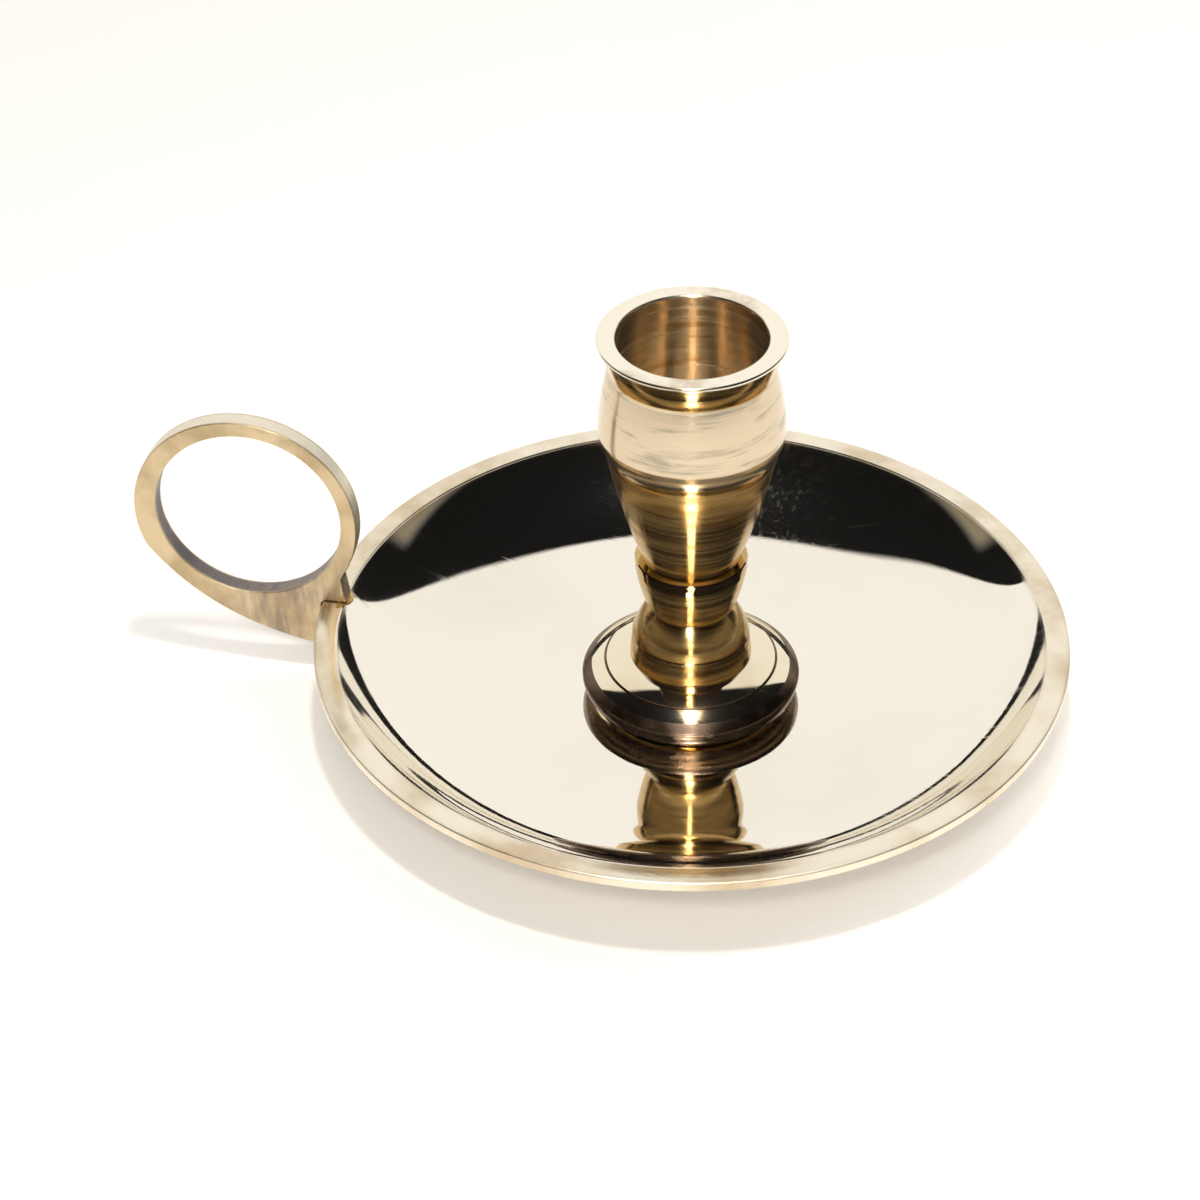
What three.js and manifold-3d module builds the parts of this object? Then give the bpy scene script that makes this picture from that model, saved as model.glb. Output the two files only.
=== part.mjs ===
// A brass chamberstick: a shallow drip pan, a turned stem stacked on its floor under a candle cup,
// one countersunk screw through the stack, and a cast finger ring brazed to the pan's rim.
// Millimetres, +Z up. The origin is on the pan's axis, on the table. The ring lies towards -X.
import * as THREE from "three";
import { mergeVertices } from "three/addons/utils/BufferGeometryUtils.js";
import Module from "manifold-3d";

// Drip pan: a flat floor, a wall that rises in one arc, and a flat lip with a rounded edge.
const PAN_DIAMETER = 114;
const PAN_DEPTH = 10.7;
const PAN_WALL = 2.4;
const FLOOR_DIAMETER = 66;
const LIP_WIDTH = 3.4;
const LIP_EDGE = 1.5;

// Base knop: a domed disc on the pan's floor with a small rounded edge, undercut below it.
const KNOP_DIAMETER = 33.1;
const KNOP_SEAT_DIAMETER = 25.8;
const KNOP_HEIGHT = 7.3;
const KNOP_EDGE_HEIGHT = 3.4;
const KNOP_EDGE_ROUND = 0.7;
const KNOP_EDGE_ANGLE = THREE.MathUtils.degToRad(49);
const DOME_PULL_OUTSET = 4;
const DOME_PULL_DROP = 0.7;

// Stem pedestal: a plain foot under a bell, a sharp waist, and a bowl with a narrow straight collar.
const FOOT_DIAMETER = 18.4;
const FOOT_HEIGHT = 3.9;
const BELL_DIAMETER = 17.7;
const BELL_PULL_INSET = 0.95;
const BELL_PULL_RISE = 3.3;
const WAIST_DIAMETER = 12.4;
const WAIST_HEIGHT = 8.9;
const BOWL_PULL_OUTSET = 1.3;
const BOWL_PULL_RISE = 2;
const COLLAR_DIAMETER = 16.8;
const COLLAR_HEIGHT = 1.7;
const PEDESTAL_HEIGHT = 18;

// Candle cup: a tapered underside, a shoulder, a barrel that narrows upwards and a flared lip.
const SOCKET_DIAMETER = 21.9;
const SOCKET_DEPTH = 22;
const SOCKET_MOUTH_ROUND = 0.5;
const CUP_WALL = 1.15;
const CUP_HEIGHT = 38.1;
const CUP_NECK_DIAMETER = 14.4;
const TAPER_HEIGHT = 19.5;
const TAPER_BELLY_HEIGHT = 11;
const TAPER_BELLY_INSET = 1.4;
const SHOULDER_STEP = 1.1;
const SHOULDER_HEIGHT = 3.5;
const SHOULDER_PULL_INSET = 0.2;
const SHOULDER_PULL_RISE = 1.2;
const BARREL_SWELL = 1.6;
const BARREL_PULL_INSET = 0.3;
const BARREL_PULL_RISE = 5;
const CUP_LIP_FLARE = 1.7;
const CUP_LIP_ROUND = 0.35;
const CUP_LIP_HEIGHT = 5;
const CUP_LIP_START_ANGLE = THREE.MathUtils.degToRad(-20);
const LIP_PULL_OUTSET = 0.5;
const LIP_PULL_RISE = 2.4;

// Centre screw: its head is flush with the pan's underside and its tip is inside the cup.
const SCREW_DIAMETER = 4;
const SCREW_HEAD_DIAMETER = 8;
const SCREW_HEAD_HEIGHT = 1.8;
const SCREW_GRIP = 8;
const SCREW_TIP_CHAMFER = 0.5;
const SCREW_CLEARANCE = 0.3;
const SCREW_TIP_CLEARANCE = 1;

// Ring handle: an upright finger ring whose tang sweeps under the lip to the pan's outer wall.
const RING_DIAMETER = 34.6;
const RING_HOLE_DIAMETER = 28.8;
const RING_THICKNESS = 3;
const RING_EDGE_ROUND = 0.6;
const RING_REACH = 11.2;
const RING_RISE = 14.3;
const HOLE_INWARD_SHIFT = 0.5;
const HOLE_UPWARD_SHIFT = 0.6;
const RING_FOOT_ANGLE = THREE.MathUtils.degToRad(214);
const RING_FOOT_INSET = 3.8;
const TANG_START_ANGLE = THREE.MathUtils.degToRad(-22);
const TANG_EDGE_ANGLE = THREE.MathUtils.degToRad(234);
const TANG_EDGE_PULL = 11.5;
const TANG_ROOT_PULL = 22.4;
const TANG_ROOT_INSET = 12.5;
const TANG_ROOT_DROP = 9.4;

// Brazed joint: the gap between tang and pan, and how far the filler stands out round the tang.
const BRAZE_GAP = 0.3;
const BRAZE_LEG = 1.6;

// Facets of the round pieces
const PAN_SEGMENTS = 64;
const STEM_SEGMENTS = 40;
const SCREW_SEGMENTS = 20;
const PROFILE_STEPS = 4;
const RING_STEPS = 24;

const panRadius = PAN_DIAMETER / 2;
const floorRadius = FLOOR_DIAMETER / 2;
const floorTop = PAN_WALL;
const lipTop = floorTop + PAN_DEPTH;
const lipUnderside = lipTop - LIP_EDGE;
const lipInnerRadius = panRadius - LIP_WIDTH;
const lipEdgeRadius = LIP_EDGE / 2;

// The wall's arc leaves the floor level and passes through the lip's inner edge.
const wallRun = lipInnerRadius - floorRadius;
const wallInnerArc = (wallRun ** 2 + PAN_DEPTH ** 2) / (2 * PAN_DEPTH);
const wallOuterArc = wallInnerArc + PAN_WALL;
const wallCentre = floorTop + wallInnerArc;

const knopTop = floorTop + KNOP_HEIGHT;
const pedestalTop = knopTop + PEDESTAL_HEIGHT;
const cupTop = pedestalTop + CUP_HEIGHT;
const socketFloor = cupTop - SOCKET_DEPTH;
const footRadius = FOOT_DIAMETER / 2;
const neckRadius = CUP_NECK_DIAMETER / 2;
const screwRadius = SCREW_DIAMETER / 2;
const screwHoleRadius = screwRadius + SCREW_CLEARANCE;
const screwTip = pedestalTop + SCREW_GRIP;

const polishedBrass = new THREE.MeshStandardMaterial({ color: 0xd9bd7a, roughness: 0.12, metalness: 1 });
const castBrass = new THREE.MeshStandardMaterial({ color: 0xcba765, roughness: 0.38, metalness: 1 });
const fillerBrass = new THREE.MeshStandardMaterial({ color: 0xb98b4a, roughness: 0.45, metalness: 1 });
const screwBrass = new THREE.MeshStandardMaterial({ color: 0xb89a5c, roughness: 0.3, metalness: 1 });

const wasm = await Module();
wasm.setup();

// Keeps only the positions, so that the vertices of neighbouring faces become one.
function welded(geometry) {
  geometry.deleteAttribute("normal");
  geometry.deleteAttribute("uv");
  return mergeVertices(geometry);
}

// A round solid from a profile of radius and height, turned about the vertical axis.
function turned(profile, segments) {
  const lathe = new THREE.LatheGeometry(profile.getPoints(PROFILE_STEPS), segments);
  return welded(lathe.rotateX(Math.PI / 2));
}

// An upright plate in the plane of the ring, from an outline of reach and height.
function plate(outline, thickness, edgeRound) {
  const core = thickness - 2 * edgeRound;
  const extrusion = new THREE.ExtrudeGeometry(outline, {
    depth: core,
    curveSegments: RING_STEPS,
    bevelEnabled: edgeRound > 0,
    bevelThickness: edgeRound,
    bevelSize: edgeRound,
    bevelOffset: -edgeRound,
    bevelSegments: 2,
  });
  return welded(extrusion.translate(0, 0, -core / 2).rotateX(Math.PI / 2).rotateZ(Math.PI));
}

function toSolid(geometry) {
  const index = geometry.index.array;
  const triangles = [];
  for (let i = 0; i < index.length; i += 3) {
    const [a, b, c] = index.slice(i, i + 3);
    if (a !== b && b !== c && c !== a) triangles.push(a, b, c);
  }
  const vertProperties = new Float32Array(geometry.attributes.position.array);
  const triVerts = new Uint32Array(triangles);
  return new wasm.Manifold(new wasm.Mesh({ numProp: 3, vertProperties, triVerts }));
}

function toGeometry(solid) {
  const { vertProperties, triVerts } = solid.getMesh();
  const geometry = new THREE.BufferGeometry();
  geometry.setAttribute("position", new THREE.BufferAttribute(vertProperties, 3));
  geometry.setIndex(new THREE.BufferAttribute(triVerts, 1));
  geometry.computeVertexNormals();
  return geometry;
}

function dripPan() {
  const lipAngle = -Math.acos(wallRun / wallInnerArc);
  const undersideAngle = Math.asin((lipUnderside - wallCentre) / wallOuterArc);
  const profile = new THREE.Path();
  profile.moveTo(SCREW_HEAD_DIAMETER / 2 + SCREW_CLEARANCE, 0);
  profile.lineTo(floorRadius, 0);
  profile.absarc(floorRadius, wallCentre, wallOuterArc, -Math.PI / 2, undersideAngle, false);
  profile.lineTo(panRadius - lipEdgeRadius, lipUnderside);
  profile.absarc(panRadius - lipEdgeRadius, lipTop - lipEdgeRadius, lipEdgeRadius, -Math.PI / 2, Math.PI / 2);
  profile.lineTo(lipInnerRadius, lipTop);
  profile.absarc(floorRadius, wallCentre, wallInnerArc, lipAngle, -Math.PI / 2, true);
  profile.lineTo(screwHoleRadius, floorTop);
  profile.lineTo(screwHoleRadius, SCREW_HEAD_HEIGHT);
  profile.closePath();
  return turned(profile, PAN_SEGMENTS);
}

// The pan's outer form with its hollow filled, grown evenly, for what is fitted round the rim.
function panEnvelope(growth) {
  const outerArc = wallOuterArc + growth;
  const edgeRadius = lipEdgeRadius + growth;
  const undersideAngle = Math.asin((lipUnderside - growth - wallCentre) / outerArc);
  const profile = new THREE.Path();
  profile.moveTo(0, -growth);
  profile.lineTo(floorRadius, -growth);
  profile.absarc(floorRadius, wallCentre, outerArc, -Math.PI / 2, undersideAngle, false);
  profile.lineTo(panRadius - lipEdgeRadius, lipUnderside - growth);
  profile.absarc(panRadius - lipEdgeRadius, lipTop - lipEdgeRadius, edgeRadius, -Math.PI / 2, Math.PI / 2);
  profile.lineTo(0, lipTop + growth);
  return toSolid(turned(profile, PAN_SEGMENTS));
}

function baseKnop() {
  const seatRadius = KNOP_SEAT_DIAMETER / 2;
  const knopRadius = KNOP_DIAMETER / 2;
  const widest = floorTop + KNOP_EDGE_HEIGHT;
  const profile = new THREE.Path();
  profile.moveTo(screwHoleRadius, floorTop);
  profile.lineTo(seatRadius, floorTop);
  profile.absellipse(seatRadius, widest, knopRadius - seatRadius, KNOP_EDGE_HEIGHT, -Math.PI / 2, 0);
  profile.absarc(knopRadius - KNOP_EDGE_ROUND, widest, KNOP_EDGE_ROUND, 0, KNOP_EDGE_ANGLE);
  profile.quadraticCurveTo(footRadius + DOME_PULL_OUTSET, knopTop - DOME_PULL_DROP, footRadius, knopTop);
  profile.lineTo(screwHoleRadius, knopTop);
  profile.closePath();
  return turned(profile, STEM_SEGMENTS);
}

function stemPedestal() {
  const footTop = knopTop + FOOT_HEIGHT;
  const bellRadius = BELL_DIAMETER / 2;
  const bellPull = [bellRadius - BELL_PULL_INSET, footTop + BELL_PULL_RISE];
  const waist = knopTop + WAIST_HEIGHT;
  const waistRadius = WAIST_DIAMETER / 2;
  const bowlPull = [waistRadius + BOWL_PULL_OUTSET, waist + BOWL_PULL_RISE];
  const collarRadius = COLLAR_DIAMETER / 2;
  const profile = new THREE.Path();
  profile.moveTo(screwHoleRadius, knopTop);
  profile.lineTo(footRadius, knopTop);
  profile.lineTo(bellRadius, footTop);
  profile.quadraticCurveTo(...bellPull, waistRadius, waist);
  profile.quadraticCurveTo(...bowlPull, collarRadius, pedestalTop - COLLAR_HEIGHT);
  profile.lineTo(collarRadius, pedestalTop);
  profile.lineTo(screwHoleRadius, pedestalTop);
  profile.closePath();
  return turned(profile, STEM_SEGMENTS);
}

function candleCup() {
  const socketRadius = SOCKET_DIAMETER / 2;
  const barrelTopRadius = socketRadius + CUP_WALL;
  const barrelRadius = barrelTopRadius + BARREL_SWELL;
  const taperRadius = barrelRadius - SHOULDER_STEP;
  const taperTop = pedestalTop + TAPER_HEIGHT;
  const shoulderTop = taperTop + SHOULDER_HEIGHT;
  const lipBase = cupTop - CUP_LIP_HEIGHT;
  const lipCentreRadius = barrelTopRadius + CUP_LIP_FLARE - CUP_LIP_ROUND;
  const lipCentre = cupTop - CUP_LIP_ROUND;
  const lipStartRadius = lipCentreRadius + CUP_LIP_ROUND * Math.cos(CUP_LIP_START_ANGLE);
  const lipStart = lipCentre + CUP_LIP_ROUND * Math.sin(CUP_LIP_START_ANGLE);
  const taperPull = [taperRadius - TAPER_BELLY_INSET, pedestalTop + TAPER_BELLY_HEIGHT];
  const shoulderPull = [barrelRadius - SHOULDER_PULL_INSET, taperTop + SHOULDER_PULL_RISE];
  const barrelPull = [barrelRadius - BARREL_PULL_INSET, shoulderTop + BARREL_PULL_RISE];
  const lipPull = [barrelTopRadius + LIP_PULL_OUTSET, lipBase + LIP_PULL_RISE];
  const profile = new THREE.Path();
  profile.moveTo(0, screwTip + SCREW_TIP_CLEARANCE);
  profile.lineTo(screwHoleRadius, screwTip + SCREW_TIP_CLEARANCE);
  profile.lineTo(screwHoleRadius, pedestalTop);
  profile.lineTo(neckRadius, pedestalTop);
  profile.quadraticCurveTo(...taperPull, taperRadius, taperTop);
  profile.quadraticCurveTo(...shoulderPull, barrelRadius, shoulderTop);
  profile.quadraticCurveTo(...barrelPull, barrelTopRadius, lipBase);
  profile.quadraticCurveTo(...lipPull, lipStartRadius, lipStart);
  profile.absarc(lipCentreRadius, lipCentre, CUP_LIP_ROUND, CUP_LIP_START_ANGLE, Math.PI / 2);
  profile.lineTo(socketRadius + SOCKET_MOUTH_ROUND, cupTop);
  profile.quadraticCurveTo(socketRadius, cupTop, socketRadius, cupTop - SOCKET_MOUTH_ROUND);
  profile.lineTo(socketRadius, socketFloor);
  profile.lineTo(0, socketFloor);
  return turned(profile, STEM_SEGMENTS);
}

function centreScrew() {
  const profile = new THREE.Path();
  profile.moveTo(0, 0);
  profile.lineTo(SCREW_HEAD_DIAMETER / 2, 0);
  profile.lineTo(screwRadius, SCREW_HEAD_HEIGHT);
  profile.lineTo(screwRadius, screwTip - SCREW_TIP_CHAMFER);
  profile.lineTo(screwRadius - SCREW_TIP_CHAMFER, screwTip);
  profile.lineTo(0, screwTip);
  return turned(profile, SCREW_SEGMENTS);
}

// Ring and tang in one outline. The tang's lower edge can be dropped, for what is fitted round it.
function handleOutline(drop) {
  const ringRadius = RING_DIAMETER / 2;
  const ringReach = panRadius + RING_REACH;
  const ringHeight = lipTop + RING_RISE;
  const startReach = ringReach + ringRadius * Math.cos(TANG_START_ANGLE);
  const startHeight = ringHeight + ringRadius * Math.sin(TANG_START_ANGLE);
  const rootReach = panRadius - TANG_ROOT_INSET;
  const rootHeight = lipTop - TANG_ROOT_DROP - drop;
  const outline = new THREE.Shape();
  outline.moveTo(panRadius - RING_FOOT_INSET, lipTop);
  outline.absarc(ringReach, ringHeight, ringRadius, RING_FOOT_ANGLE, TANG_START_ANGLE, true);
  outline.bezierCurveTo(
    startReach + TANG_EDGE_PULL * Math.cos(TANG_EDGE_ANGLE),
    startHeight + TANG_EDGE_PULL * Math.sin(TANG_EDGE_ANGLE) - drop,
    rootReach + TANG_ROOT_PULL,
    rootHeight,
    rootReach,
    rootHeight,
  );
  outline.closePath();
  const holeReach = ringReach - HOLE_INWARD_SHIFT;
  const holeHeight = ringHeight + HOLE_UPWARD_SHIFT;
  const hole = new THREE.Path();
  hole.absarc(holeReach, holeHeight, RING_HOLE_DIAMETER / 2, 0, 2 * Math.PI, false);
  outline.holes.push(hole);
  return outline;
}

// The casting is coped to the lip and the outer wall, a brazing gap away from them.
function ringHandle() {
  const casting = toSolid(plate(handleOutline(0), RING_THICKNESS, RING_EDGE_ROUND));
  return toGeometry(casting.subtract(panEnvelope(BRAZE_GAP)));
}

// Filler metal in the corner between the tang's faces and the pan, joined under the tang.
function handleBraze() {
  const collar = panEnvelope(BRAZE_GAP + BRAZE_LEG).subtract(panEnvelope(BRAZE_GAP));
  const flooded = toSolid(plate(handleOutline(BRAZE_LEG), RING_THICKNESS + 2 * BRAZE_LEG, 0));
  const tang = toSolid(plate(handleOutline(BRAZE_GAP), RING_THICKNESS + 2 * BRAZE_GAP, 0));
  return toGeometry(collar.intersect(flooded).subtract(tang));
}

const candleHolder = new THREE.Group();
function addPiece(name, geometry, material) {
  const piece = new THREE.Mesh(geometry, material);
  piece.name = name;
  candleHolder.add(piece);
}

addPiece("drip_pan", dripPan(), polishedBrass);
addPiece("base_knop", baseKnop(), polishedBrass);
addPiece("stem_pedestal", stemPedestal(), polishedBrass);
addPiece("candle_cup", candleCup(), polishedBrass);
addPiece("centre_screw", centreScrew(), screwBrass);
addPiece("ring_handle", ringHandle(), castBrass);
addPiece("handle_braze", handleBraze(), fillerBrass);

export default candleHolder;
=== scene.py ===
# A brass chamberstick on a plain pale floor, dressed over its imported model. Metres, +Z up.
import math

import bmesh
import bpy
from mathutils import Matrix, Vector, geometry


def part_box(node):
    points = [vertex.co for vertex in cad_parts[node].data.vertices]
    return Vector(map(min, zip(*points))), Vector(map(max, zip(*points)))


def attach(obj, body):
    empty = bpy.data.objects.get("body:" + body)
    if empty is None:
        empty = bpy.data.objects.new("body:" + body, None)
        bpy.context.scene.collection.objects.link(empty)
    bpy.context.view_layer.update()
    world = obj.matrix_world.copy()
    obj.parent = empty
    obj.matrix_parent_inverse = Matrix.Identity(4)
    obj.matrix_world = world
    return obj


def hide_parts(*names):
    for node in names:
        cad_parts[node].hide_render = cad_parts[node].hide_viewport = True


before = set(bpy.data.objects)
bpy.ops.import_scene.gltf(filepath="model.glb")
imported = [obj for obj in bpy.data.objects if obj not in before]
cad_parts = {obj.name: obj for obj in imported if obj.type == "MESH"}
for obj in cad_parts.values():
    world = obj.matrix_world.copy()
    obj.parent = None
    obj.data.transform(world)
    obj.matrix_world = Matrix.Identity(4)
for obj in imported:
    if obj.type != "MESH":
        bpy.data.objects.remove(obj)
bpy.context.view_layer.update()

# Drip pan: a shallow dish, turned from brass and polished until it is a mirror.
# Its floor is flat, its wall rises in one arc, and its narrow lip has a rounded edge.
# The stem stands on its floor, held by a screw from below.
pan_low, pan_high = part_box("drip_pan")
pan_radius = pan_high.y
lip_top = pan_high.z
PAN_WALL = 0.0024
FLOOR_RADIUS = 0.033
LIP_WIDTH = 0.0034
LIP_EDGE = 0.0015
LIP_CORNER = 0.0003
LIP_CROWN = 0.00012
LIP_STEPS = 12
LIP_INNER_ROUND = 0.0004
LIP_INNER_END = 145
WALL_OVERRUN = 0.4
SCREW_HOLE_RADIUS = 0.0023
COUNTERSINK_RADIUS = 0.0043
COUNTERSINK_DEPTH = 0.0018
PAN_STEPS = 320
MERGE_DISTANCE = 1e-7
ROUND_SHADING = math.radians(28)
PAN_TONE = (0.925, 0.872, 0.768, 1)
PAN_CLOUD_TONE = (0.875, 0.82, 0.705, 1)
COAT_ROUGHNESS = 0.36
LIP_TONE = (0.92, 0.84, 0.68, 1)
LIP_STAIN = (0.58, 0.43, 0.25, 1)
LIP_STAIN_TURN = math.radians(80)
LIP_SATIN = 0.2
EDGE_FADE = 0.0008
RUBBED_PLACE = (0, 0.047, 0.007)
RUBBED_REACH = (0.01, 0.03)
HAIRLINE_TURNS = (12, 71, 128)
HAIRLINE_DULLING = 0.1
HAIRLINE_STRENGTH = 0.35
HAIRLINE_DEPTH = 0.000004
POLISH_RING_DEPTH = 0.0000022
SWELL_DEPTH = 0.00004
FALLING = (1.0, 0.0)


def arc(centre, radius, start, end, steps, rise=None):
    """Points of a round stretch between two angles in degrees, or of an oval one with its own rise."""
    height = radius if rise is None else rise
    angles = [math.radians(start + (end - start) * i / steps) for i in range(steps + 1)]
    return [(centre[0] + radius * math.cos(a), centre[1] + height * math.sin(a)) for a in angles]


def as_piece(name, shape, material):
    """Turns a bmesh into a smooth object whose sharp corners stay sharp."""
    bmesh.ops.remove_doubles(shape, verts=shape.verts, dist=MERGE_DISTANCE)
    bmesh.ops.recalc_face_normals(shape, faces=shape.faces)
    for face in shape.faces:
        face.smooth = True
    for edge in shape.edges:
        edge.smooth = edge.calc_face_angle(0) < ROUND_SHADING
    mesh = bpy.data.meshes.new(name)
    shape.to_mesh(mesh)
    shape.free()
    mesh.materials.append(material)
    piece = bpy.data.objects.new(name, mesh)
    bpy.context.scene.collection.objects.link(piece)
    return piece


def turned(name, profile, closed, steps, material):
    """A piece turned on a lathe: a profile of radius and height, spun about the upright axis."""
    shape = bmesh.new()
    row = [shape.verts.new((radius, 0, height)) for radius, height in profile]
    ends = row[1:] + row[:1] if closed else row[1:]
    cut = [shape.edges.new(pair) for pair in zip(row, ends)]
    bmesh.ops.spin(
        shape,
        geom=row + cut,
        cent=(0, 0, 0),
        axis=(0, 0, 1),
        angle=2 * math.pi,
        steps=steps,
        use_merge=True,
    )
    return as_piece(name, shape, material)


def node(tree, kind, sockets=None, **settings):
    """Adds a shader node, with its settings and with its sockets set or linked."""
    made = tree.nodes.new("ShaderNode" + kind)
    for name, value in settings.items():
        setattr(made, name, value)
    for name, value in (sockets or {}).items():
        if isinstance(value, bpy.types.NodeSocket):
            tree.links.new(value, made.inputs[name])
        else:
            made.inputs[name].default_value = value
    return made


def metal(name, tone):
    """A metal with its shader ready, and the piece's own coordinates."""
    material = bpy.data.materials.new(name)
    material.use_nodes = True
    tree = material.node_tree
    shader = tree.nodes["Principled BSDF"]
    shader.inputs["Metallic"].default_value = 1
    shader.inputs["Base Color"].default_value = tone
    place = node(tree, "TexCoord").outputs["Object"]
    return material, tree, shader, place


def dress(tree, shader, **looks):
    """Links a colour, a roughness or a normal to a shader."""
    sockets = {"colour": "Base Color", "roughness": "Roughness", "normal": "Normal"}
    for look, value in looks.items():
        tree.links.new(value, shader.inputs[sockets[look]])


def maths(tree, operation, *values):
    """One step of arithmetic on numbers."""
    return node(tree, "Math", dict(enumerate(values)), operation=operation).outputs[0]


def vector_maths(tree, operation, *values):
    """One step of arithmetic on places. A length or a distance comes out as a number."""
    outputs = node(tree, "VectorMath", dict(enumerate(values)), operation=operation).outputs
    return outputs["Value" if operation in ("LENGTH", "DISTANCE") else "Vector"]


def sum_of(tree, first, *others):
    """Values added up."""
    total = first
    for value in others:
        total = maths(tree, "ADD", total, value)
    return total


def product(tree, first, *others):
    """Values multiplied."""
    total = first
    for value in others:
        total = maths(tree, "MULTIPLY", total, value)
    return total


def ramp(tree, value, source, target=(0.0, 1.0)):
    """Maps a value from one range to another with soft ends."""
    sockets = {"Value": value, 1: source[0], 2: source[1], 3: target[0], 4: target[1]}
    return node(tree, "MapRange", sockets, interpolation_type="SMOOTHSTEP").outputs[0]


def blend(tree, share, first, second):
    """A colour part of the way from one to another."""
    return node(tree, "Mix", {0: share, 6: first, 7: second}, data_type="RGBA").outputs[2]


def grain(tree, place, scale, detail, stretch=(1, 1, 1), turn=(0, 0, 0)):
    """Cloudy noise, stretched and turned."""
    mapped = node(tree, "Mapping", {"Vector": place, "Scale": stretch, "Rotation": turn}).outputs[0]
    return node(tree, "TexNoise", {"Vector": mapped, "Scale": scale, "Detail": detail}).outputs[0]


def bumped(tree, height, distance, strength=1.0, over=None):
    """A surface raised by a height, on top of an earlier one if that is given."""
    sockets = {"Height": height, "Strength": strength, "Distance": distance}
    if over is not None:
        sockets["Normal"] = over
    return node(tree, "Bump", sockets).outputs[0]


def level_place(tree, place):
    """A point's place across the table, and its distance from the axis."""
    level = vector_maths(tree, "MULTIPLY", place, (1, 1, 0))
    return level, vector_maths(tree, "LENGTH", level)


def ring_place(tree, place, radial, around):
    """Coordinates that run fast across the radius and slowly round the axis, with no seam."""
    level, radius = level_place(tree, place)
    outward = vector_maths(tree, "NORMALIZE", level)
    swept = vector_maths(tree, "MULTIPLY", outward, (around, around, 0))
    lifted = node(tree, "CombineXYZ", {"Z": product(tree, radius, radial)}).outputs[0]
    return vector_maths(tree, "ADD", swept, lifted)


def scratches(tree, place, turn):
    """Short faint hairlines, all running one way."""
    lines = grain(tree, place, scale=1.0, detail=1.0, stretch=(110, 2800, 110), turn=(0, 0, turn))
    patches = grain(tree, place, scale=70.0, detail=1.0)
    return product(tree, ramp(tree, lines, (0.66, 0.76)), ramp(tree, patches, (0.5, 0.7)))


def mirror_brass(name, tone, cloud_tone, gloss, haze, scuffing, satin_radius):
    """Brass polished to a mirror, with rings, hairlines and smears, and satin beyond a radius."""
    material, tree, shader, place = metal(name, tone)
    shader.inputs["Coat Weight"].default_value = scuffing
    shader.inputs["Coat Roughness"].default_value = COAT_ROUGHNESS
    radius = level_place(tree, place)[1]
    edge_wear = ramp(tree, radius, (satin_radius - EDGE_FADE, satin_radius + EDGE_FADE / 2))
    corner_satin = ramp(tree, radius, (lip_corner - LIP_CORNER, lip_corner), (0.0, LIP_SATIN))
    satin = sum_of(tree, product(tree, edge_wear, LIP_SATIN), corner_satin)
    smears = ramp(tree, grain(tree, place, scale=42.0, detail=4.0), (0.4, 0.75), (gloss, haze))
    hairlines = sum_of(tree, *[scratches(tree, place, math.radians(turn)) for turn in HAIRLINE_TURNS])
    worn = product(tree, hairlines, HAIRLINE_DULLING)
    near_rubbed = ramp(tree, vector_maths(tree, "DISTANCE", place, RUBBED_PLACE), RUBBED_REACH, FALLING)
    below_edge = ramp(tree, radius, (satin_radius - EDGE_FADE, satin_radius), FALLING)
    brushing = grain(tree, ring_place(tree, place, radial=1500.0, around=70.0), scale=1.0, detail=5.0)
    rubbed = product(tree, near_rubbed, below_edge, ramp(tree, brushing, (0.4, 0.8), (0.02, 0.14)))
    clouds = ramp(tree, grain(tree, place, scale=24.0, detail=5.0), (0.42, 0.72))
    lip_place = ring_place(tree, place, radial=90.0, around=4.0)
    lip_clouds = grain(tree, lip_place, scale=1.0, detail=4.0, turn=(0, 0, LIP_STAIN_TURN))
    lip_colour = blend(tree, ramp(tree, lip_clouds, (0.38, 0.74), (0.0, 0.8)), LIP_TONE, LIP_STAIN)
    rings = grain(tree, ring_place(tree, place, radial=1700.0, around=4.0), scale=1.0, detail=3.0)
    swell = bumped(tree, grain(tree, place, scale=48.0, detail=1.0), SWELL_DEPTH)
    ringed = bumped(tree, rings, POLISH_RING_DEPTH, over=swell)
    dress(
        tree,
        shader,
        colour=blend(tree, edge_wear, blend(tree, clouds, tone, cloud_tone), lip_colour),
        roughness=sum_of(tree, smears, worn, rubbed, satin),
        normal=bumped(tree, hairlines, -HAIRLINE_DEPTH, HAIRLINE_STRENGTH, over=ringed),
    )
    return material


floor_top = pan_low.z + PAN_WALL
lip_inner = pan_radius - LIP_WIDTH
lip_corner = pan_radius - LIP_CORNER
pan_depth = lip_top - floor_top
wall_run = lip_inner - FLOOR_RADIUS
wall_arc = (wall_run**2 + pan_depth**2) / (2 * pan_depth)
wall_centre = (FLOOR_RADIUS, floor_top + wall_arc)
wall_end = math.degrees(math.acos(wall_run / wall_arc))
outer_arc = wall_arc + PAN_WALL
outer_end = math.degrees(math.asin((wall_centre[1] - lip_top + LIP_EDGE) / outer_arc))
pan_outside = [
    *arc(wall_centre, outer_arc, -90, -outer_end, steps=40),
    *arc((lip_corner, lip_top - LIP_EDGE + LIP_CORNER), LIP_CORNER, -90, 0, steps=8),
    *arc((lip_corner, lip_top - LIP_CORNER), LIP_CORNER, 0, 90, steps=8),
]
lip_face = lip_corner - lip_inner - LIP_INNER_ROUND
pan_lip = [
    (lip_corner - lip_face * i / LIP_STEPS, lip_top + LIP_CROWN * math.sin(math.pi * i / LIP_STEPS))
    for i in range(1, LIP_STEPS)
]
lip_inner_centre = (lip_inner + LIP_INNER_ROUND, lip_top - LIP_INNER_ROUND)
pan_inside = [
    *arc(lip_inner_centre, LIP_INNER_ROUND, 90, LIP_INNER_END, steps=8),
    *arc(wall_centre, wall_arc, -wall_end - WALL_OVERRUN, -90, steps=64),
]
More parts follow.
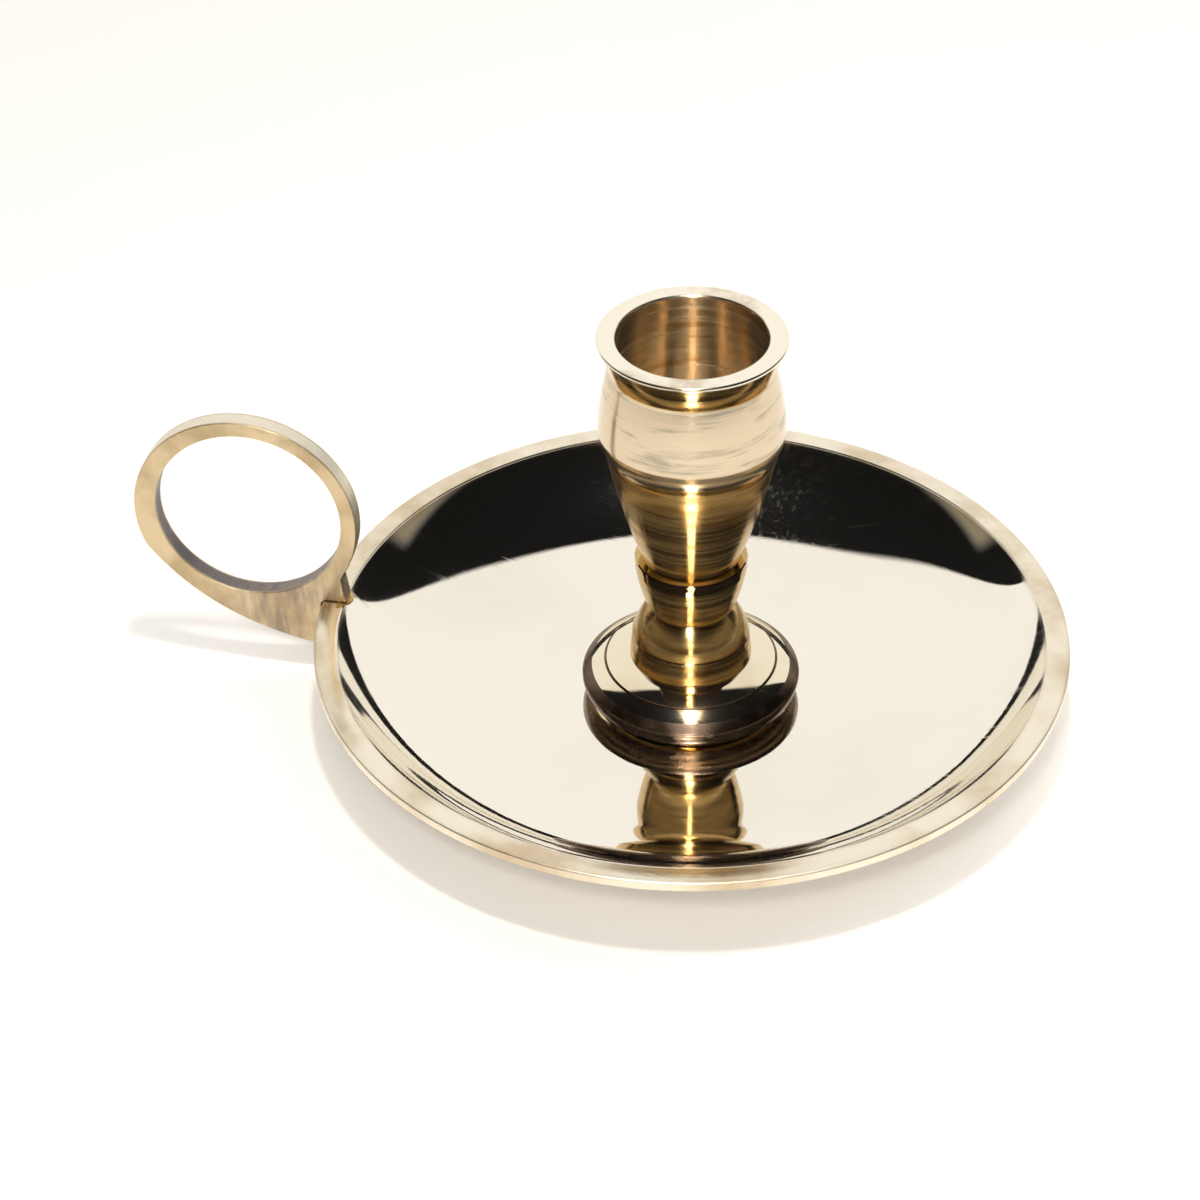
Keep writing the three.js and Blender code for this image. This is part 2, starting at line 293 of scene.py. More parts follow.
pan_middle = [
    (SCREW_HOLE_RADIUS, floor_top),
    (SCREW_HOLE_RADIUS, COUNTERSINK_DEPTH),
    (COUNTERSINK_RADIUS, pan_low.z),
]
pan_profile = pan_outside + pan_lip + pan_inside + pan_middle
pan_brass = mirror_brass(
    "mirror_brass", PAN_TONE, PAN_CLOUD_TONE, gloss=0.018, haze=0.06, scuffing=0.1, satin_radius=lip_inner
)
pan = turned("pan_polished", pan_profile, True, PAN_STEPS, pan_brass)
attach(pan, "root")
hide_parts("drip_pan")

# Base knop: a turned brass disc with a domed top, which spreads the stem's load on the pan's floor.
# A fine line is turned in its dome, and below its edge it is undercut, so the floor mirrors its rim.
# It is polished, its line and its rim are painted dark brown as a painted reflection and painted shade,
# and the centre screw runs through it.
knop_low, knop_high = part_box("base_knop")
KNOP_SEAT_RADIUS = 0.0129
KNOP_DOME_RADIUS = 0.0147
KNOP_DOME_START = 10
KNOP_DOME_END = 41
KNOP_EDGE_ROUND = 0.0007
KNOP_LINE_ANGLE = 25.6
KNOP_LINE_WIDTH = 1.6
KNOP_LINE_DEPTH = 0.00018
KNOP_RIM_RADIUS = 0.0151
FOOT_RADIUS = 0.0092
STEM_STEPS = 192
KNOP_TONE = (0.86, 0.77, 0.58, 1)
KNOP_PAINTED_RING_TONE = (0.21, 0.145, 0.1, 1)
KNOP_PAINTED_RING_DARK_TONE = (0.14, 0.095, 0.065, 1)
STEM_TONE = (0.61, 0.42, 0.18, 1)


def painted_ring_brass():
    """Dark brown, mottled: a painted reflection in a turned line and painted shade round and under an
    edge.
    """
    material, tree, shader, place = metal("painted_ring_brass", KNOP_PAINTED_RING_TONE)
    clouds = ramp(tree, grain(tree, place, scale=300.0, detail=3.0), (0.3, 0.75))
    colour = blend(tree, clouds, KNOP_PAINTED_RING_TONE, KNOP_PAINTED_RING_DARK_TONE)
    dress(tree, shader, colour=colour, roughness=ramp(tree, clouds, (0.0, 1.0), (0.2, 0.3)))
    return material


def dome_stretch(start, end, depth=0.0, steps=24):
    """A stretch of the dome between two angles from upright, cut to a depth."""
    return arc(dome_centre, KNOP_DOME_RADIUS - depth, 90 - start, 90 - end, steps)


dome_start = math.radians(KNOP_DOME_START)
dome_end = math.radians(KNOP_DOME_END)
dome_centre = (
    FOOT_RADIUS - KNOP_DOME_RADIUS * math.sin(dome_start),
    knop_high.z - KNOP_DOME_RADIUS * math.cos(dome_start),
)
edge_pull = KNOP_DOME_RADIUS - KNOP_EDGE_ROUND
edge_reach = dome_centre[0] + edge_pull * math.sin(dome_end)
edge_height = dome_centre[1] + edge_pull * math.cos(dome_end)
undercut_run = edge_reach + KNOP_EDGE_ROUND - KNOP_SEAT_RADIUS
line_outer = KNOP_LINE_ANGLE + KNOP_LINE_WIDTH / 2
line_inner = KNOP_LINE_ANGLE - KNOP_LINE_WIDTH / 2
knop_profile = [
    (SCREW_HOLE_RADIUS, knop_low.z),
    *arc((KNOP_SEAT_RADIUS, edge_height), undercut_run, -90, 0, steps=32, rise=edge_height - knop_low.z),
    *arc((edge_reach, edge_height), KNOP_EDGE_ROUND, 0, 90 - KNOP_DOME_END, steps=10)[1:],
    *dome_stretch(KNOP_DOME_END, line_outer)[1:],
    *dome_stretch(KNOP_LINE_ANGLE, KNOP_LINE_ANGLE, depth=KNOP_LINE_DEPTH, steps=1)[1:],
    *dome_stretch(line_inner, KNOP_DOME_START),
    (SCREW_HOLE_RADIUS, knop_high.z),
]
knop_brass = mirror_brass(
    "knop_brass", KNOP_TONE, STEM_TONE, gloss=0.03, haze=0.12, scuffing=0.22, satin_radius=pan_radius
)
knop = turned("knop_polished", knop_profile, True, STEM_STEPS, knop_brass)
knop.data.materials.append(painted_ring_brass())
line_radius = dome_centre[0] + KNOP_DOME_RADIUS * math.sin(math.radians(KNOP_LINE_ANGLE))
line_half = KNOP_DOME_RADIUS * math.radians(KNOP_LINE_WIDTH / 2)
# Faces in the turned line and beyond the rim radius take the painted dark rings: painted reflection and
# painted shade.
for face in knop.data.polygons:
    reach = face.center.xy.length
    in_line = abs(reach - line_radius) < line_half and face.center.z > edge_height
    face.material_index = int(in_line or reach > KNOP_RIM_RADIUS)
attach(knop, "root")
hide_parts("base_knop")

# Stem pedestal: one turned length of brass with a plain foot, a bell, a waist, a bowl and a collar.
# The tool's fine rings are left on all but the collar, so light runs up and down it in a streak.
# It stands on the knop and is clamped by the centre screw.
pedestal_low, pedestal_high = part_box("stem_pedestal")
FOOT_HEIGHT = 0.0039
BELL_RADIUS = 0.00885
BELL_PULL = (0.0079, 0.0169)
WAIST_RADIUS = 0.0062
WAIST_HEIGHT = 0.0089
BOWL_PULL = (0.0075, 0.0206)
COLLAR_RADIUS = 0.0084
COLLAR_BASE_HEIGHT = 0.0163
COLLAR_HEIGHT = 0.0017
NECK_RADIUS = 0.0072
EDGE_BREAK = 0.00018
STEM_STAIN = (0.46, 0.28, 0.1, 1)
PAINTED_GLINT_TONE = (0.95, 0.5, 0.1, 1)
PAINTED_GLINT_REACH = 0.0011
STREAK_TURN = 0.25


def turned_brass(name, tone, stain_and_reflection, gloss, haze, ring_depth, streak, glint_levels=()):
    """Turned brass: tool rings spread its highlights along the axis, stains smear round it, on the barrel
    as painted reflection, and painted orange glints run round it at given heights.
    """
    material, tree, shader, place = metal(name, tone)
    shader.inputs["Anisotropic"].default_value = streak
    shader.inputs["Anisotropic Rotation"].default_value = STREAK_TURN
    around = node(tree, "Tangent", direction_type="RADIAL", axis="Z").outputs[0]
    tree.links.new(around, shader.inputs["Tangent"])
    tool_rings = grain(tree, place, scale=1.0, detail=3.0, stretch=(60, 60, 3600))
    bands = grain(tree, place, scale=1.0, detail=2.0, stretch=(30, 30, 1100))
    smudges = grain(tree, place, scale=1.0, detail=4.0, stretch=(95, 95, 420))
    streaks = sum_of(tree, product(tree, smudges, 0.75), product(tree, tool_rings, 0.25))
    # Stains smear round in bands; on the barrel they are painted reflection.
    colour = blend(tree, ramp(tree, streaks, (0.5, 0.62)), tone, stain_and_reflection)
    height = node(tree, "SeparateXYZ", {0: place}).outputs["Z"]
    # Painted orange glint lines, broken up by the smudges, at the given heights.
    for level in glint_levels:
        at_level = maths(tree, "COMPARE", height, level, PAINTED_GLINT_REACH)
        glint_share = product(tree, at_level, ramp(tree, smudges, (0.44, 0.56), (0.0, 0.9)))
        colour = blend(tree, glint_share, colour, PAINTED_GLINT_TONE)
    wide = bumped(tree, bands, ring_depth * 2)
    dress(
        tree,
        shader,
        colour=colour,
        roughness=ramp(tree, sum_of(tree, tool_rings, bands), (0.75, 1.3), (gloss, haze)),
        normal=bumped(tree, tool_rings, ring_depth, over=wide),
    )
    return material


def bend(start, pull, end, steps):
    """A curve from one point to another, drawn towards a third."""
    knots = [Vector((*point, 0)) for point in (start, start, end, end)]
    knots[1] += (Vector((*pull, 0)) - knots[0]) * 2 / 3
    knots[2] += (Vector((*pull, 0)) - knots[3]) * 2 / 3
    return [(point.x, point.y) for point in geometry.interpolate_bezier(*knots, steps)]


foot_base = pedestal_low.z
foot_top = foot_base + FOOT_HEIGHT
waist_height = foot_base + WAIST_HEIGHT
collar_base = foot_base + COLLAR_BASE_HEIGHT
collar_top = collar_base + COLLAR_HEIGHT
pedestal_profile = [
    (SCREW_HOLE_RADIUS, foot_base),
    (FOOT_RADIUS - EDGE_BREAK, foot_base),
    (FOOT_RADIUS, foot_base + EDGE_BREAK),
    (BELL_RADIUS, foot_top - EDGE_BREAK),
    (BELL_RADIUS - EDGE_BREAK, foot_top),
    *bend((BELL_RADIUS, foot_top + EDGE_BREAK), BELL_PULL, (WAIST_RADIUS, waist_height), steps=32),
    *bend((WAIST_RADIUS, waist_height), BOWL_PULL, (COLLAR_RADIUS, collar_base), steps=32)[1:],
    (COLLAR_RADIUS, collar_top - EDGE_BREAK),
    (COLLAR_RADIUS - EDGE_BREAK, collar_top),
    (NECK_RADIUS, pedestal_high.z),
    (SCREW_HOLE_RADIUS, pedestal_high.z),
]
# The pedestal has a painted orange glint line round the foot's base.
stem_brass = turned_brass(
    "stem_brass",
    STEM_TONE,
    STEM_STAIN,
    gloss=0.14,
    haze=0.26,
    ring_depth=0.000004,
    streak=0.8,
    glint_levels=[foot_base],
)
collar_brass = mirror_brass(
    "collar_brass", STEM_TONE, STEM_STAIN, gloss=0.05, haze=0.1, scuffing=0.1, satin_radius=pan_radius
)
pedestal = turned("pedestal_turned", pedestal_profile, True, STEM_STEPS, stem_brass)
pedestal.data.materials.append(collar_brass)
for face in pedestal.data.polygons:
    face.material_index = int(face.center.z > collar_base and face.center.xy.length > NECK_RADIUS)
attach(pedestal, "root")
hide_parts("stem_pedestal")

# Candle cup: turned from one brass bar, with a tapered underside, a shoulder, a barrel and a flared lip.
# The socket is bored for a household candle, and the blind hole below takes the centre screw.
# The barrel is polished brighter than the stem, the lip is rubbed pale, and the bore keeps its tool marks.
cup_low, cup_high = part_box("candle_cup")
SOCKET_RADIUS = 0.01095
SOCKET_DEPTH = 0.022
MOUTH_ROUND = 0.0005
CUP_WALL = 0.00115
TAPER_HEIGHT = 0.0195
TAPER_BELLY_HEIGHT = 0.011
TAPER_BELLY_INSET = 0.0014
SHOULDER_STEP = 0.0011
SHOULDER_HEIGHT = 0.0035
SHOULDER_PULL = (-0.0002, 0.0012)
BARREL_SWELL = 0.0016
BARREL_PULL = (-0.0003, 0.005)
CUP_LIP_FLARE = 0.0017
CUP_LIP_PULL = (0.0005, 0.0024)
CUP_LIP_ROUND = 0.00035
CUP_LIP_START = -20
CUP_LIP_JOIN = (0.94, -0.34)
CUP_LIP_HEIGHT = 0.005
SCREW_HOLE_DEPTH = 0.009
CUP_TONE = (0.69, 0.575, 0.41, 1)
CUP_PAINTED_SMEAR_TONE = (0.44, 0.38, 0.28, 1)
MOUTH_TONE = (0.97, 0.9, 0.75, 1)
BORE_TONE = (0.91, 0.79, 0.61, 1)
BORE_STAIN = (0.72, 0.51, 0.29, 1)

cup_top = cup_high.z
socket_floor = cup_top - SOCKET_DEPTH
barrel_top_radius = SOCKET_RADIUS + CUP_WALL
barrel_radius = barrel_top_radius + BARREL_SWELL
taper_radius = barrel_radius - SHOULDER_STEP
taper_top = cup_low.z + TAPER_HEIGHT
shoulder_top = taper_top + SHOULDER_HEIGHT
lip_base = cup_top - CUP_LIP_HEIGHT
lip_centre = (barrel_top_radius + CUP_LIP_FLARE - CUP_LIP_ROUND, cup_top - CUP_LIP_ROUND)
lip_lower = lip_centre[1] - CUP_LIP_ROUND
lip_join = tuple(middle + CUP_LIP_ROUND * share for middle, share in zip(lip_centre, CUP_LIP_JOIN))
screw_hole_top = cup_low.z + SCREW_HOLE_DEPTH
mouth_outer = (SOCKET_RADIUS + MOUTH_ROUND, cup_top)
taper_pull = (taper_radius - TAPER_BELLY_INSET, cup_low.z + TAPER_BELLY_HEIGHT)
shoulder_pull = (barrel_radius + SHOULDER_PULL[0], taper_top + SHOULDER_PULL[1])
barrel_pull = (barrel_radius + BARREL_PULL[0], shoulder_top + BARREL_PULL[1])
flare_pull = (barrel_top_radius + CUP_LIP_PULL[0], lip_base + CUP_LIP_PULL[1])
cup_profile = [
    (0, screw_hole_top),
    (SCREW_HOLE_RADIUS, screw_hole_top),
    (SCREW_HOLE_RADIUS, cup_low.z),
    *bend((NECK_RADIUS, cup_low.z), taper_pull, (taper_radius, taper_top), steps=32),
    *bend((taper_radius, taper_top), shoulder_pull, (barrel_radius, shoulder_top), steps=20)[1:],
    *bend((barrel_radius, shoulder_top), barrel_pull, (barrel_top_radius, lip_base), steps=24)[1:],
    *bend((barrel_top_radius, lip_base), flare_pull, lip_join, steps=16)[1:],
    *arc(lip_centre, CUP_LIP_ROUND, CUP_LIP_START, 90, steps=14)[1:],
    *bend(mouth_outer, (SOCKET_RADIUS, cup_top), (SOCKET_RADIUS, cup_top - MOUTH_ROUND), steps=8),
    (SOCKET_RADIUS, socket_floor),
    (0, socket_floor),
]
# The barrel's grey smears are painted reflection, spread round it like stains.
barrel_brass = turned_brass(
    "barrel_brass", CUP_TONE, CUP_PAINTED_SMEAR_TONE, gloss=0.12, haze=0.22, ring_depth=0.000005, streak=0.5
)
# The taper has a painted orange glint line round its top.
taper_brass = turned_brass(
    "taper_brass",
    STEM_TONE,
    STEM_STAIN,
    gloss=0.14,
    haze=0.26,
    ring_depth=0.000003,
    streak=0.8,
    glint_levels=[taper_top + PAINTED_GLINT_REACH / 3],
)
neck_brass = turned_brass(
    "neck_brass", STEM_TONE, STEM_STAIN, gloss=0.1, haze=0.2, ring_depth=0.000002, streak=0.5
)
lip_brass = turned_brass(
    "lip_brass", MOUTH_TONE, CUP_TONE, gloss=0.16, haze=0.26, ring_depth=0.000003, streak=0.3
)
bored_brass = turned_brass(
    "bored_brass", BORE_TONE, BORE_STAIN, gloss=0.16, haze=0.28, ring_depth=0.000003, streak=0.8
)
cup_finishes = [barrel_brass, taper_brass, neck_brass, lip_brass, bored_brass]
cup = turned("cup_turned", cup_profile, False, STEM_STEPS, barrel_brass)
for finish in cup_finishes[1:]:
    cup.data.materials.append(finish)
for face in cup.data.polygons:
    height = face.center.z
    in_bore = face.center.xy.length < SOCKET_RADIUS + MOUTH_ROUND / 2
    if in_bore and height > socket_floor - MOUTH_ROUND:
        finish = bored_brass
    elif height < taper_top + SHOULDER_HEIGHT / 4:
        finish = taper_brass
    elif lip_base < height < lip_lower:
        finish = neck_brass
    elif height > lip_lower:
        finish = lip_brass
    else:
        finish = barrel_brass
    face.material_index = cup_finishes.index(finish)
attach(cup, "root")
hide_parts("candle_cup")

# Centre screw: a plain slotted brass screw with a countersunk head, flush with the pan's underside.
# It runs up through the pan, the knop and the pedestal into the cup and holds the stack together.
screw_low, screw_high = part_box("centre_screw")
screw_head_radius = screw_high.y
SCREW_RADIUS = 0.002
SCREW_SLOT_WIDTH = 0.0012
SCREW_SLOT_DEPTH = 0.0009
SCREW_STEPS = 64
FACING_DOWN = -0.99
SCREW_TONE = (0.72, 0.6, 0.36, 1)


def screw_brass():
    """Brass that has dulled in the shade under the pan."""
    material, tree, shader, place = metal("screw_brass", SCREW_TONE)
    specks = grain(tree, place, scale=700.0, detail=4.0)
    dress(tree, shader, roughness=ramp(tree, specks, (0.35, 0.7), (0.28, 0.45)))
    return material


screw_profile = [
    (0, screw_low.z),
    (screw_head_radius, screw_low.z),
    (SCREW_RADIUS, COUNTERSINK_DEPTH),
    (SCREW_RADIUS, screw_high.z),
    (0, screw_high.z),
]
screw = turned("screw_slotted", screw_profile, False, SCREW_STEPS, screw_brass())
slot_cut = bmesh.new()
slot_cut.from_mesh(screw.data)
for side in (-1, 1):
    bmesh.ops.bisect_plane(
        slot_cut,
        geom=[*slot_cut.verts, *slot_cut.edges, *slot_cut.faces],
        plane_co=(0, side * SCREW_SLOT_WIDTH / 2, 0),
        plane_no=(0, 1, 0),
    )
slot_faces = [
    face
    for face in slot_cut.faces
    if face.normal.z < FACING_DOWN and abs(face.calc_center_median().y) < SCREW_SLOT_WIDTH / 2
]
slot_bottom = bmesh.ops.extrude_face_region(slot_cut, geom=slot_faces)["geom"]
bmesh.ops.translate(
    slot_cut,
    verts=[part for part in slot_bottom if isinstance(part, bmesh.types.BMVert)],
    vec=(0, 0, SCREW_SLOT_DEPTH),
)
bmesh.ops.delete(slot_cut, geom=slot_faces, context="FACES_ONLY")
bmesh.ops.recalc_face_normals(slot_cut, faces=slot_cut.faces)
slot_cut.to_mesh(screw.data)
slot_cut.free()
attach(screw, "root")
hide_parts("centre_screw")

# Ring handle: a finger ring cast in brass in one piece with its tang, filed and left satin.
# It stands upright on the rim, and the tang sweeps under the lip to the pan's outer wall.
# Handling has worn its edges round, and tarnish is left near the root.
RING_RADIUS = 0.0173
RING_HOLE_RADIUS = 0.0144
RING_REACH = 0.0112
RING_RISE = 0.0143
HOLE_SHIFT = (-0.0005, 0.0006)
RING_FOOT_ANGLE = 214
RING_FOOT_INSET = 0.0038
TANG_START_ANGLE = -22
TANG_EDGE_ANGLE = math.radians(234)
TANG_EDGE_PULL = 0.0115
TANG_ROOT_PULL = 0.0224
TANG_ROOT_INSET = 0.0125
TANG_ROOT_DROP = 0.0094
COPE_MARGIN = 0.0002
RING_THICKNESS = 0.003
RING_EDGE_ROUND = 0.0007
SHARP_CORNER = math.radians(60)
BRAZE_GAP = 0.0003
CAST_TONE = (0.5, 0.38, 0.22, 1)
CAST_PALE_TONE = (0.72, 0.58, 0.37, 1)
RIM_TONE = (0.88, 0.81, 0.66, 1)
RIM_WEAR = 0.0006
RIM_MARGIN = 0.00005
INNER_SHADE_TONE = (0.2, 0.18, 0.185, 1)
INNER_SHADE_FADE = 0.0008
TARNISH_TONE = (0.31, 0.25, 0.2, 1)
TARNISH_OFFSET = 0.003
TARNISH_REACH = (0.003, 0.02)
FILE_MARK_DEPTH = 0.00001
PIT_DEPTH = 0.00001
PIT_STRENGTH = 0.5
half_ring = RING_THICKNESS / 2


def cast_brass(root, hole, hole_edge):
    """Satin cast brass: filed faces, a rim rubbed pale, painted shade inside the ring's hole, and tarnish
    at the root.
    """
    material, tree, shader, place = metal("cast_brass", CAST_TONE)
    clouds = ramp(tree, grain(tree, place, scale=150.0, detail=6.0), (0.3, 0.65))
    face_colour = blend(tree, clouds, CAST_TONE, CAST_PALE_TONE)
    from_middle = maths(tree, "ABSOLUTE", node(tree, "SeparateXYZ", {0: place}).outputs["Y"])
    on_rim = ramp(tree, from_middle, (half_ring - RIM_WEAR, half_ring - RIM_MARGIN), FALLING)
    # Near the hole the rim band is painted dark grey: painted shade inside the ring.
    in_plane = vector_maths(tree, "MULTIPLY", place, (1, 0, 1))
    from_hole = vector_maths(tree, "DISTANCE", in_plane, hole)
    inner_shade = ramp(tree, from_hole, (hole_edge, hole_edge + INNER_SHADE_FADE), FALLING)
    rim_wear_and_shade = blend(tree, inner_shade, RIM_TONE, INNER_SHADE_TONE)
    # The rim band's colour: pale wear on the outside, painted shade in the hole.
    rubbed = blend(tree, on_rim, face_colour, rim_wear_and_shade)
    near_root = ramp(tree, vector_maths(tree, "DISTANCE", place, root), TARNISH_REACH, FALLING)
    strokes = grain(tree, place, scale=1.0, detail=5.0, stretch=(620, 300, 150), turn=(0, 0.3, 0))
    tarnish = product(tree, near_root, ramp(tree, strokes, (0.3, 0.7), (0.0, 0.95)))
    file_marks = grain(tree, place, scale=1.0, detail=3.0, stretch=(2300, 500, 90))
    filed = bumped(tree, file_marks, FILE_MARK_DEPTH)
    pits = grain(tree, place, scale=1400.0, detail=2.0)
    dress(
        tree,
        shader,
        colour=blend(tree, tarnish, rubbed, TARNISH_TONE),
        roughness=ramp(tree, file_marks, (0.3, 0.7), (0.36, 0.5)),
        normal=bumped(tree, pits, PIT_DEPTH, PIT_STRENGTH, over=filed),
    )
    return material


ring_centre = (pan_radius + RING_REACH, lip_top + RING_RISE)
ring_arc = arc(ring_centre, RING_RADIUS, RING_FOOT_ANGLE, TANG_START_ANGLE, steps=120)
tang_start = Vector((*ring_arc[-1], 0))
tang_root = Vector((pan_radius - TANG_ROOT_INSET, lip_top - TANG_ROOT_DROP, 0))
edge_way = Vector((math.cos(TANG_EDGE_ANGLE), math.sin(TANG_EDGE_ANGLE), 0))
tang_edge = geometry.interpolate_bezier(
    tang_start,
    tang_start + edge_way * TANG_EDGE_PULL,
    tang_root + Vector((TANG_ROOT_PULL, 0, 0)),
    tang_root,
    48,
)
lip_half = LIP_EDGE / 2
lip_edge_centre = (pan_radius - lip_half, lip_top - lip_half)
coped_arc = outer_arc + BRAZE_GAP
coped_end = math.degrees(math.asin((wall_centre[1] - lip_top + LIP_EDGE + BRAZE_GAP) / coped_arc))
coped_start = math.degrees(math.asin((wall_centre[1] - tang_root.y) / coped_arc))
coped_edge = [
    *arc(wall_centre, coped_arc, -coped_start, -coped_end, steps=24),
    *arc(lip_edge_centre, lip_half + BRAZE_GAP, -90, 90, steps=16),
]
wall_middle = Vector((*wall_centre, 0))
coped_reach = coped_arc + COPE_MARGIN
handle_outline = [
    (pan_radius - RING_FOOT_INSET, lip_top + BRAZE_GAP),
    *ring_arc,
    *[(point.x, point.y) for point in tang_edge[1:] if (point - wall_middle).length > coped_reach],
    *coped_edge,
]
hole_centre = (ring_centre[0] + HOLE_SHIFT[0], ring_centre[1] + HOLE_SHIFT[1])
hole_outline = arc(hole_centre, RING_HOLE_RADIUS, 0, 360, steps=160)[:-1]
casting = bmesh.new()
for outline in (handle_outline, hole_outline):
    corners = [casting.verts.new((-reach, -half_ring, height)) for reach, height in outline]
    for pair in zip(corners, corners[1:] + corners[:1]):
        casting.edges.new(pair)
bmesh.ops.triangle_fill(casting, edges=casting.edges, use_beauty=True)
far_face = bmesh.ops.extrude_face_region(casting, geom=casting.faces)["geom"]
far_corners = [part for part in far_face if isinstance(part, bmesh.types.BMVert)]
bmesh.ops.translate(casting, verts=far_corners, vec=(0, RING_THICKNESS, 0))
bmesh.ops.recalc_face_normals(casting, faces=casting.faces)
rims = [
    edge
    for edge in casting.edges
    if edge.calc_face_angle(0) > SHARP_CORNER and edge.verts[0].co.y == edge.verts[1].co.y
]
bmesh.ops.bevel(
    casting,
    geom=rims,
    offset=RING_EDGE_ROUND,
    segments=4,
    profile=0.5,
    affect="EDGES",
    material=-1,
    clamp_overlap=True,
)
handle_root = (-pan_radius - TARNISH_OFFSET, 0, lip_top - TARNISH_OFFSET)
hole_place = (-hole_centre[0], 0, hole_centre[1])
handle = as_piece("handle_cast", casting, cast_brass(handle_root, hole_place, RING_HOLE_RADIUS))
flat_faces = handle.modifiers.new("flat_faces", "WEIGHTED_NORMAL")
flat_faces.keep_sharp = True
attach(handle, "root")
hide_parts("ring_handle")

# Brazed joint: filler metal run round the tang's root, where it meets the lip and the wall.
# It is a little redder than the casting, dull, and fuller on top of the lip.
BRAZE_LEG = 0.0014
BRAZE_SINK = 0.00008
BRAZE_TUCK = 0.0002
BRAZE_START = 0.0012
BRAZE_STEP = 0.0009
BRAZE_LIP_POINTS = 5
BRAZE_OVERRUN = 3
BRAZE_FIRST_SIZES = [0.15, 0.7, 1.0, 1.15, 1.15, 1.15, 1.15]
BRAZE_WALL_SIZE = 0.9
BRAZE_LAST_SIZES = [0.6, 0.15]
BRAZE_TONE = (0.72, 0.5, 0.2, 1)
BRAZE_DARK_TONE = (0.4, 0.25, 0.1, 1)
LUMP_DEPTH = 0.00005
LUMP_STRENGTH = 0.6


def filler_brass():
    """Dull amber filler with darker flux stains."""
    material, tree, shader, place = metal("filler_brass", BRAZE_TONE)
    stains = ramp(tree, grain(tree, place, scale=420.0, detail=4.0), (0.45, 0.7))
    lumps = grain(tree, place, scale=900.0, detail=3.0)
    dress(
        tree,
        shader,
        colour=blend(tree, stains, BRAZE_TONE, BRAZE_DARK_TONE),
        roughness=ramp(tree, lumps, (0.3, 0.7), (0.3, 0.5)),
        normal=bumped(tree, lumps, LUMP_DEPTH, LUMP_STRENGTH),
    )
    return material


braze_half = half_ring - BRAZE_TUCK
braze_side = arc((braze_half + BRAZE_LEG, BRAZE_LEG), BRAZE_LEG, 180, 270, steps=8)
braze_section = [
    (-braze_half, BRAZE_GAP),
    (braze_half, BRAZE_GAP),
    *braze_side,
    (braze_half + BRAZE_LEG, -BRAZE_SINK),
    (-braze_half - BRAZE_LEG, -BRAZE_SINK),
    *[(-y, rise) for y, rise in reversed(braze_side)],
]
braze_path = [
    *[(lip_inner - BRAZE_START + BRAZE_STEP * i, lip_top) for i in range(BRAZE_LIP_POINTS)],
    *reversed(arc(lip_edge_centre, lip_half, -90, 90, steps=12)),
    *reversed(arc(wall_centre, outer_arc, -coped_start - BRAZE_OVERRUN, -outer_end, steps=16)),
]
wall_points = len(braze_path) - len(BRAZE_FIRST_SIZES) - len(BRAZE_LAST_SIZES)
braze_sizes = BRAZE_FIRST_SIZES + [BRAZE_WALL_SIZE] * wall_points + BRAZE_LAST_SIZES


def braze_station(i):
    """Where the filler's section stands at a point of its path, square to the pan's surface."""
    points = [Vector((-reach, 0, height)) for reach, height in braze_path]
    along = (points[min(i + 1, len(points) - 1)] - points[max(i - 1, 0)]).normalized()
    outward = along.cross(Vector((0, 1, 0)))
    size = braze_sizes[i]
    columns = (Vector((0, 1, 0)) * size, outward * size, along, points[i])
    return Matrix([[*(column[row] for column in columns)] for row in range(3)] + [[0, 0, 0, 1]])


filler = bmesh.new()
section = filler.faces.new([filler.verts.new((y, rise, 0)) for y, rise in braze_section])
bmesh.ops.transform(filler, matrix=braze_station(0), verts=filler.verts)
bmesh.ops.reverse_faces(filler, faces=[section])
ahead = section
for i in range(1, len(braze_path)):
    grown = bmesh.ops.extrude_face_region(filler, geom=[ahead, *ahead.edges])["geom"]
    moved = [part for part in grown if isinstance(part, bmesh.types.BMVert)]
    bmesh.ops.transform(filler, matrix=braze_station(i) @ braze_station(i - 1).inverted(), verts=moved)
    ahead = next(part for part in grown if isinstance(part, bmesh.types.BMFace))
braze = as_piece("braze_filler", filler, filler_brass())
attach(braze, "root")
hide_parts("handle_braze")

# Floor: a plain pale sheet under the holder, wide enough to fill every view.
# It is matt, shows white to the camera and in the mirrors of the metal, and keeps the shadow.
FLOOR_HALF_WIDTH = 4.0
FLOOR_LEVEL = -0.0002
FLOOR_TONE = (0.86, 0.83, 0.79, 1)
FLOOR_ROUGHNESS = 0.9
FLOOR_GLOW = 0.2
WHITE = (1, 1, 1, 1)


def seen_directly(tree):
    """One for rays from the camera, mirrors and glass, and nought for rays that only carry light."""
    path = node(tree, "LightPath").outputs
    seen = maths(tree, "MAXIMUM", path["Is Camera Ray"], path["Is Glossy Ray"])
    return maths(tree, "MAXIMUM", seen, path["Is Transmission Ray"])


def pale_sheet():
    """A matt white sheet, lifted towards white wherever it is seen."""
    material = bpy.data.materials.new("pale_sheet")
    material.use_nodes = True
    tree = material.node_tree
    shader = tree.nodes["Principled BSDF"]
    shader.inputs["Base Color"].default_value = FLOOR_TONE
    shader.inputs["Roughness"].default_value = FLOOR_ROUGHNESS
    shader.inputs["Specular IOR Level"].default_value = 0
    shader.inputs["Emission Color"].default_value = WHITE
    glow = product(tree, seen_directly(tree), FLOOR_GLOW)
    tree.links.new(glow, shader.inputs["Emission Strength"])
    return material


sheet = bmesh.new()
at_floor = Matrix.Translation((0, 0, FLOOR_LEVEL))
bmesh.ops.create_grid(sheet, x_segments=1, y_segments=1, size=FLOOR_HALF_WIDTH, matrix=at_floor)
floor = as_piece("floor", sheet, pale_sheet())

